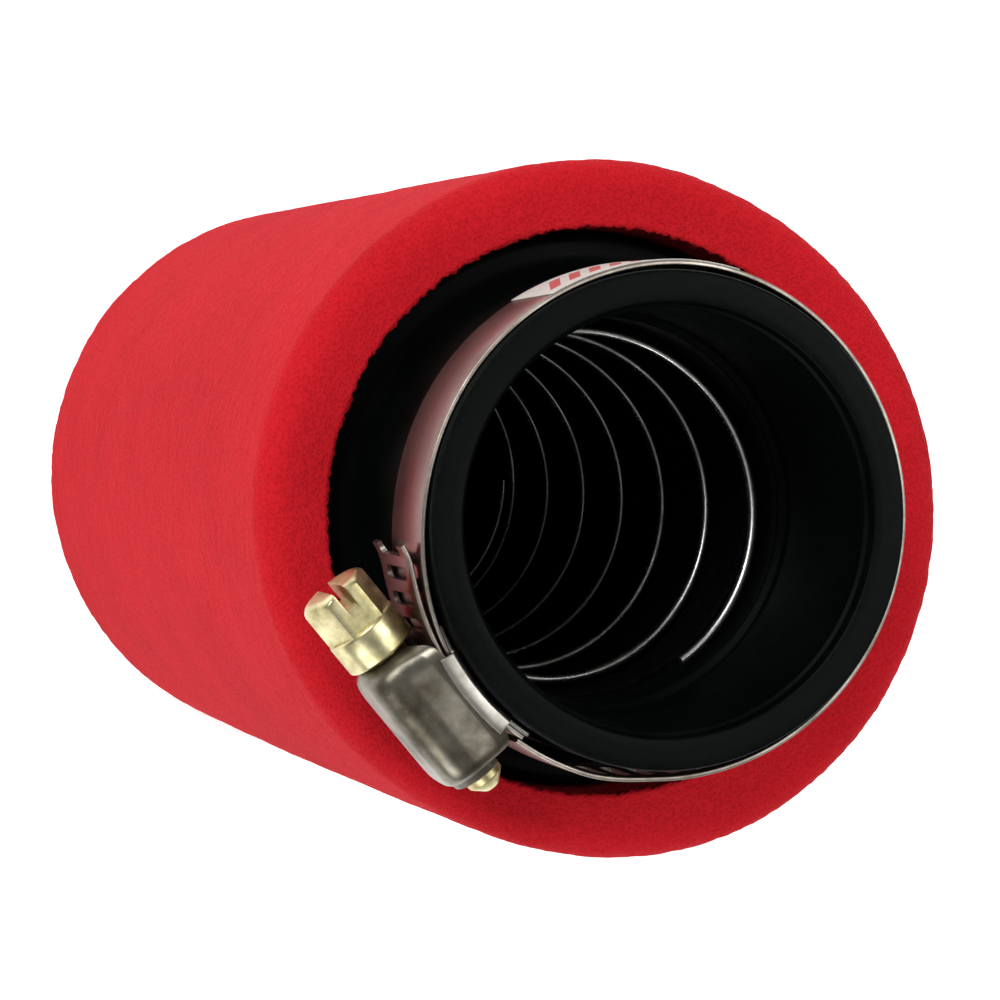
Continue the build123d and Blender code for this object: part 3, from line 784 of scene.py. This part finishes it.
# ---- saddle ------------------------------------------------------------------------------------
# A curved steel plate under the band's two layers. Its side tabs are folded up and pressed against
# the housing's feet, which ties the two together.
SADDLE_MIDDLE = 30.575 * MM
SADDLE_SHEET = 0.55 * MM
TAB_HALF_LENGTH = 5.5 * MM
TAB_OUT = 7.63 * MM
TAB_HEIGHT = 2.1 * MM
TONGUE_HALF_WIDTH = 6.6 * MM
saddle_section = spaced(rounded([
    (TAB_OUT, TAB_HEIGHT, 0),
    (TAB_OUT, 0.0, 0.6 * MM),
    (-TAB_OUT, 0.0, 0.6 * MM),
    (-TAB_OUT, TAB_HEIGHT, 0),
], 0.2 * MM), 0.6 * MM)
SADDLE_ROWS = 32
saddle_along = [HOUSING_HALF_LENGTH * (2 * i / SADDLE_ROWS - 1) for i in range(SADDLE_ROWS + 1)]
saddle_rows = []
for along in saddle_along:
    angle = along / SADDLE_MIDDLE
    saddle_rows.append([
        on_clamp(x, (SADDLE_MIDDLE + lift) * cos(angle), (SADDLE_MIDDLE + lift) * sin(angle))
        for x, lift in saddle_section
    ])


def in_saddle(i, k):
    """Past the tabs only the narrow tongue of the plate goes on."""
    middle = (saddle_along[i] + saddle_along[i + 1]) / 2
    reach = max(abs(saddle_section[k][0]), abs(saddle_section[k + 1][0]))
    return abs(middle) < TAB_HALF_LENGTH or reach < TONGUE_HALF_WIDTH


saddle = grid_piece("housing_saddle", saddle_rows, wrap_columns=False, keep=in_saddle)
work = bmesh.new()
work.from_mesh(saddle.data)
bmesh.ops.delete(work, geom=[v for v in work.verts if not v.link_faces], context="VERTS")
work.to_mesh(saddle.data)
work.free()
thicken(saddle, SADDLE_SHEET, 0, 0.1 * MM)
bright_steel = finished_material("bright_steel", worked_metal, 0.02 * MM, 0.5, {
    "Bright Color": (0.52, 0.50, 0.45, 1), "Dull Color": (0.34, 0.32, 0.27, 1),
    "Line Scale": (700, 700, 250), "Patches per metre": 160.0, "Smooth": 0.25, "Rough": 0.45,
}, {"Metallic": 1.0})
saddle.data.materials.append(bright_steel)
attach(saddle, "clamp")
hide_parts("clamp_saddle")

# ---- worm screw --------------------------------------------------------------------------------
# A screw turned and rolled from steel and plated with yellow-passivated zinc: slotted hexagon head,
# a round collar against the housing, the worm that drives the band's slots, and a plain nose.
SHANK = 2.8 * MM
WORM_DEPTH = 1.0 * MM
NOSE = 2.4 * MM
NOSE_TIP = -12.1 * MM
SHANK_TOP = 9.7 * MM
COLLAR = 4.6 * MM
COLLAR_AROUND = 96
COLLAR_FOOT = 9.5 * MM
HEX_FOOT = 13.9 * MM
HEAD_TOP = 19.4 * MM
HEX_FLAT = 3.97 * MM
HEX_CORNER = HEX_FLAT / cos(pi / 6)
HEX_EDGE = 18.2 * MM
HEX_SUNK = 0.3 * MM          # of the hexagon, into the collar
WORM_HALF_LENGTH = 6.4 * MM
WORM_REACH = 7.2 * MM
WORM_STEP = 0.16 * MM
WORM_ROWS = 90
sideways = headwards.cross(-outwards)
screw_place = Matrix((
    (-outwards.x, sideways.x, headwards.x, outwards.x * SCREW_OUT),
    (-outwards.y, sideways.y, headwards.y, outwards.y * SCREW_OUT),
    (-outwards.z, sideways.z, headwards.z, CLAMP_Z),
    (0, 0, 0, 1),
))


def worm_radius(angle, height):
    """Radius of the shank with the right-handed worm standing on it, run out at both ends."""
    phase = abs(((height + WORM_HALF_LENGTH) / SLOT_PITCH - angle / tau + 0.5) % 1 - 0.5)
    tooth = min(max((0.235 - phase) / 0.11, 0), 1)
    run_out = min(max((WORM_HALF_LENGTH - abs(height)) / (0.6 * MM), 0), 1)
    return SHANK + WORM_DEPTH * tooth * run_out


shank_outline = rounded([
    (POLE, NOSE_TIP, 0),
    (1.0 * MM, NOSE_TIP, 0.3 * MM),
    (NOSE, -10.7 * MM, 0.4 * MM),
    (NOSE, -7.6 * MM, 0),
    (SHANK, -7.5 * MM, 0),
], 0.15 * MM)
shank_outline += [(0, -WORM_REACH + WORM_STEP * i) for i in range(WORM_ROWS + 1)]
shank_outline += [(SHANK, SHANK_TOP), (POLE, SHANK_TOP)]
WORM_AROUND = 72
shank_rows = []
for radius, height in shank_outline:
    angles = [tau * k / WORM_AROUND for k in range(WORM_AROUND)]
    radii = [radius or worm_radius(a, height) for a in angles]     # 0 stands for the worm
    shank_rows.append([(r * cos(a), r * sin(a), height) for r, a in zip(radii, angles)])
shank = grid_piece("screw_shank", shank_rows)
close_poles(shank)

head_outline = rounded([
    (POLE, COLLAR_FOOT, 0),
    (COLLAR, COLLAR_FOOT, 0.35 * MM),
    (COLLAR, HEX_FOOT, 0.5 * MM),
    (POLE, HEX_FOOT, 0),
], 0.2 * MM)
collar = grid_piece("screw_collar", turned(head_outline, COLLAR_AROUND))
close_poles(collar)

HEX_AROUND = 72
hex_levels = [
    (POLE, HEX_FOOT - HEX_SUNK), (HEX_CORNER, HEX_FOOT - HEX_SUNK), (HEX_CORNER, HEX_EDGE),
    (HEX_CORNER, 18.6 * MM), (4.42 * MM, 18.85 * MM), (4.2 * MM, 19.05 * MM), (3.95 * MM, 19.22 * MM),
    (3.6 * MM, 19.34 * MM), (3.1 * MM, HEAD_TOP), (POLE, HEAD_TOP),
]
hex_rows = []
for radius, height in hex_levels:
    row = []
    for k in range(HEX_AROUND):
        angle = tau * k / HEX_AROUND
        flat = HEX_FLAT / cos(angle % (pi / 3) - pi / 6)
        reach = min(radius, flat, HEX_CORNER - 0.06 * MM)
        row.append((reach * cos(angle), reach * sin(angle), height))
    hex_rows.append(row)
hexagon = grid_piece("screw_hexagon", hex_rows)
close_poles(hexagon)

# the driver's slot is sawn across the head
SLOT_HALF, SLOT_FLOOR, SLOT_REACH = 0.8 * MM, HEAD_TOP - 2.8 * MM, 6 * MM
saw_corners = [
    (x, y, z)
    for z in (SLOT_FLOOR, HEAD_TOP + 1 * MM)
    for x, y in (
        (-SLOT_HALF, -SLOT_REACH), (SLOT_HALF, -SLOT_REACH),
        (SLOT_HALF, SLOT_REACH), (-SLOT_HALF, SLOT_REACH),
    )
]
saw = new_piece("slot_saw", saw_corners, [], [
    (3, 2, 1, 0), (4, 5, 6, 7), (0, 1, 5, 4), (1, 2, 6, 5), (2, 3, 7, 6), (3, 0, 4, 7)])
sawn = hexagon.modifiers.new("driver_slot", "BOOLEAN")
sawn.object = saw
sawn.operation = "DIFFERENCE"
sawn.solver = "EXACT"
eased = hexagon.modifiers.new("eased_edges", "BEVEL")
eased.width = 0.16 * MM
eased.segments = 3
eased.limit_method = "ANGLE"
eased.angle_limit = radians(35)
freeze(hexagon)
bpy.data.objects.remove(saw)

whole = bmesh.new()
for part in (shank, collar, hexagon):
    whole.from_mesh(part.data)
    bpy.data.objects.remove(part)
whole.transform(screw_place)
screw_mesh = bpy.data.meshes.new("worm_screw")
whole.to_mesh(screw_mesh)
whole.free()
screw = bpy.data.objects.new("worm_screw", screw_mesh)
bpy.context.scene.collection.objects.link(screw)
soft_shading(screw)
yellow_zinc = finished_material("yellow_zinc", worked_metal, 0.02 * MM, 0.4, {
    "Bright Color": (0.78, 0.70, 0.42, 1), "Dull Color": (0.40, 0.35, 0.15, 1),
    "Line Scale": (900, 900, 500), "Patches per metre": 260.0, "Smooth": 0.26, "Rough": 0.46,
}, {"Metallic": 1.0})
screw_mesh.materials.append(yellow_zinc)
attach(screw, "screw")
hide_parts("clamp_screw")

# ---- size label --------------------------------------------------------------------------------
# A white plastic-coated paper label stuck round the band, cut slanting at one end and printed with
# a row of plain red bars.
LABEL_OUTSIDE = 31.68 * MM
LABEL_SHEET = 0.15 * MM
LABEL_WIDTH = 12.3 * MM
LABEL_START, LABEL_END = radians(73), radians(122)
LABEL_SLANT = radians(2.5)
LABEL_COLUMNS, LABEL_STEPS = 12, 70
BARS_PER_WIDTH = 4.4         # the bars' measures are shares of the label's width
BAR_HALF_HEIGHT = 0.3
BARS_START, BARS_END = 0.455, 1.94
label_rows = []
for i in range(LABEL_COLUMNS + 1):
    across = i / LABEL_COLUMNS
    row = []
    for k in range(LABEL_STEPS + 1):
        angle = LABEL_START + (LABEL_END - LABEL_SLANT * across - LABEL_START) * k / LABEL_STEPS
        height = CLAMP_Z + REST_RISE * rest_share(angle) + LABEL_WIDTH * (across - 0.5)
        radius = LABEL_OUTSIDE - REST_SINK * rest_share(angle)
        row.append((radius * cos(angle), radius * sin(angle), height))
    label_rows.append(row)
label = grid_piece("size_label", label_rows, wrap_columns=False)
label_uv = label.data.uv_layers.new(name="sheet")
for loop in label.data.loops:
    x, y, z = label.data.vertices[loop.vertex_index].co
    angle = atan2(y, x)
    from_middle = z - CLAMP_Z - REST_RISE * rest_share(angle)
    label_uv.data[loop.index].uv = (
        (LABEL_END - angle) * LABEL_OUTSIDE / LABEL_WIDTH,
        from_middle / LABEL_WIDTH + 0.5,
    )
thicken(label, LABEL_SHEET, -1, 0.03 * MM)


def label_material():
    """White coated paper with a row of slanting red bars, a little faded and scuffed."""
    material = bpy.data.materials.new("printed_paper")
    material.use_nodes = True
    tree = material.node_tree
    sheet = add_node(tree, "ShaderNodeUVMap", uv_map="sheet")
    split = add_node(tree, "ShaderNodeSeparateXYZ", {0: sheet.outputs[0]})
    along, across = split.outputs[0], split.outputs[1]
    leaned = calc(tree, "MULTIPLY_ADD", across, 0.35, along)
    bar = calc(tree, "LESS_THAN", calc(tree, "FRACT", calc(tree, "MULTIPLY", leaned, BARS_PER_WIDTH)), 0.55)
    off_middle = calc(tree, "ABSOLUTE", calc(tree, "SUBTRACT", across, 0.5))
    in_height = calc(tree, "LESS_THAN", off_middle, BAR_HALF_HEIGHT)
    past_start = calc(tree, "GREATER_THAN", leaned, BARS_START)
    in_length = calc(tree, "MULTIPLY", past_start, calc(tree, "LESS_THAN", leaned, BARS_END))
    printed = calc(tree, "MULTIPLY", calc(tree, "MULTIPLY", bar, in_height), in_length)
    skin = add_node(tree, "ShaderNodeGroup", {
        "Clean Color": (0.66, 0.62, 0.58, 1), "Dusty Color": (0.50, 0.46, 0.42, 1),
        "Patches per metre": 300.0, "Grains per metre": 2500.0, "Smooth": 0.35, "Rough": 0.55,
    }, node_tree=moulded_skin)
    ink = add_node(tree, "ShaderNodeMix", {
        "Factor": calc(tree, "MULTIPLY", printed, 0.9),
        MIX_A: skin.outputs["Color"], MIX_B: (0.50, 0.03, 0.03, 1)}, data_type="RGBA")
    bump = add_node(tree, "ShaderNodeBump", {
        "Strength": 0.3, "Distance": 0.01 * MM, "Height": skin.outputs["Height"]})
    surface = tree.nodes["Principled BSDF"]
    tree.links.new(ink.outputs[MIX_RESULT], surface.inputs["Base Color"])
    tree.links.new(skin.outputs["Roughness"], surface.inputs["Roughness"])
    tree.links.new(bump.outputs["Normal"], surface.inputs["Normal"])
    surface.inputs["Specular IOR Level"].default_value = 0.35
    return material


label.data.materials.append(label_material())
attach(label, "clamp")
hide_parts("clamp_label")

# ---- floor, light and camera -------------------------------------------------------------------
# The filter stands on its blind end on plain white paper, seen from above its neck, a little from
# one side, in broad soft light.
FLOOR_HALF = 3.0
FLOOR_Z = -0.0005
floor = new_piece("floor", [
    (-FLOOR_HALF, -FLOOR_HALF, FLOOR_Z), (FLOOR_HALF, -FLOOR_HALF, FLOOR_Z),
    (FLOOR_HALF, FLOOR_HALF, FLOOR_Z), (-FLOOR_HALF, FLOOR_HALF, FLOOR_Z)], [], [(0, 1, 2, 3)])
paper = bpy.data.materials.new("floor_paper")
paper.use_nodes = True
paper_surface = paper.node_tree.nodes["Principled BSDF"]
paper_surface.inputs["Base Color"].default_value = (0.9, 0.9, 0.9, 1)
paper_surface.inputs["Roughness"].default_value = 0.9
paper_surface.inputs["Emission Color"].default_value = (1, 1, 1, 1)
paper_surface.inputs["Emission Strength"].default_value = 0.62
floor.data.materials.append(paper)

# The lens is a long one. The filter's axis leans away from it by the two angles.
LENS_RATIO = 3.6
YAW = radians(-17.4)
PITCH = radians(-2.3)
MOUTH_RIGHT, MOUTH_DOWN, MOUTH_AWAY = 0.0206, 0.00250, 0.4290
away = Vector((sin(YAW) * cos(PITCH), sin(PITCH), cos(YAW) * cos(PITCH)))
rightward = Vector((0, 1, 0)).cross(away).normalized()
downward = away.cross(rightward)
turn = Matrix((
    (rightward.x, -downward.x, -away.x),
    (-rightward.y, downward.y, away.y),
    (-rightward.z, downward.z, away.z),
)).transposed()
mouth_seen = Vector((MOUTH_RIGHT, -MOUTH_DOWN, -MOUTH_AWAY))
camera_data = bpy.data.cameras.new("camera")
camera_data.sensor_width = 36
camera_data.lens = 36 * LENS_RATIO
camera_data.clip_start = 0.01
camera = bpy.data.objects.new("camera", camera_data)
bpy.context.scene.collection.objects.link(camera)
camera.matrix_world = Matrix.Translation(Vector((0, 0, MOUTH_Z)) - turn @ mouth_seen) @ turn.to_4x4()
bpy.context.scene.camera = camera


def softbox(name, right, up, towards, size, power):
    """A square area light, placed as the camera sees it, aimed at the filter."""
    lamp_data = bpy.data.lights.new(name, "AREA")
    lamp_data.size = size
    lamp_data.energy = power
    lamp = bpy.data.objects.new(name, lamp_data)
    bpy.context.scene.collection.objects.link(lamp)
    aim = Vector((0, 0, 0.12))
    place = aim + turn @ Vector((right, up, towards))
    facing = (aim - place).to_track_quat("-Z", "Y").to_matrix().to_4x4()
    lamp.matrix_world = Matrix.Translation(place) @ facing


softbox("key_light", -0.28, 0.5, 0.85, 0.5, 6.2)
softbox("fill_light", 0.7, 0.1, 0.6, 0.6, 3.0)
softbox("low_light", -0.1, -0.7, 0.5, 0.5, 2.6)
world = bpy.data.worlds.new("studio")
bpy.context.scene.world = world
world.use_nodes = True
world.node_tree.nodes["Background"].inputs["Color"].default_value = (1, 1, 1, 1)
world.node_tree.nodes["Background"].inputs["Strength"].default_value = 0.26
bpy.context.scene.view_settings.view_transform = "Standard"
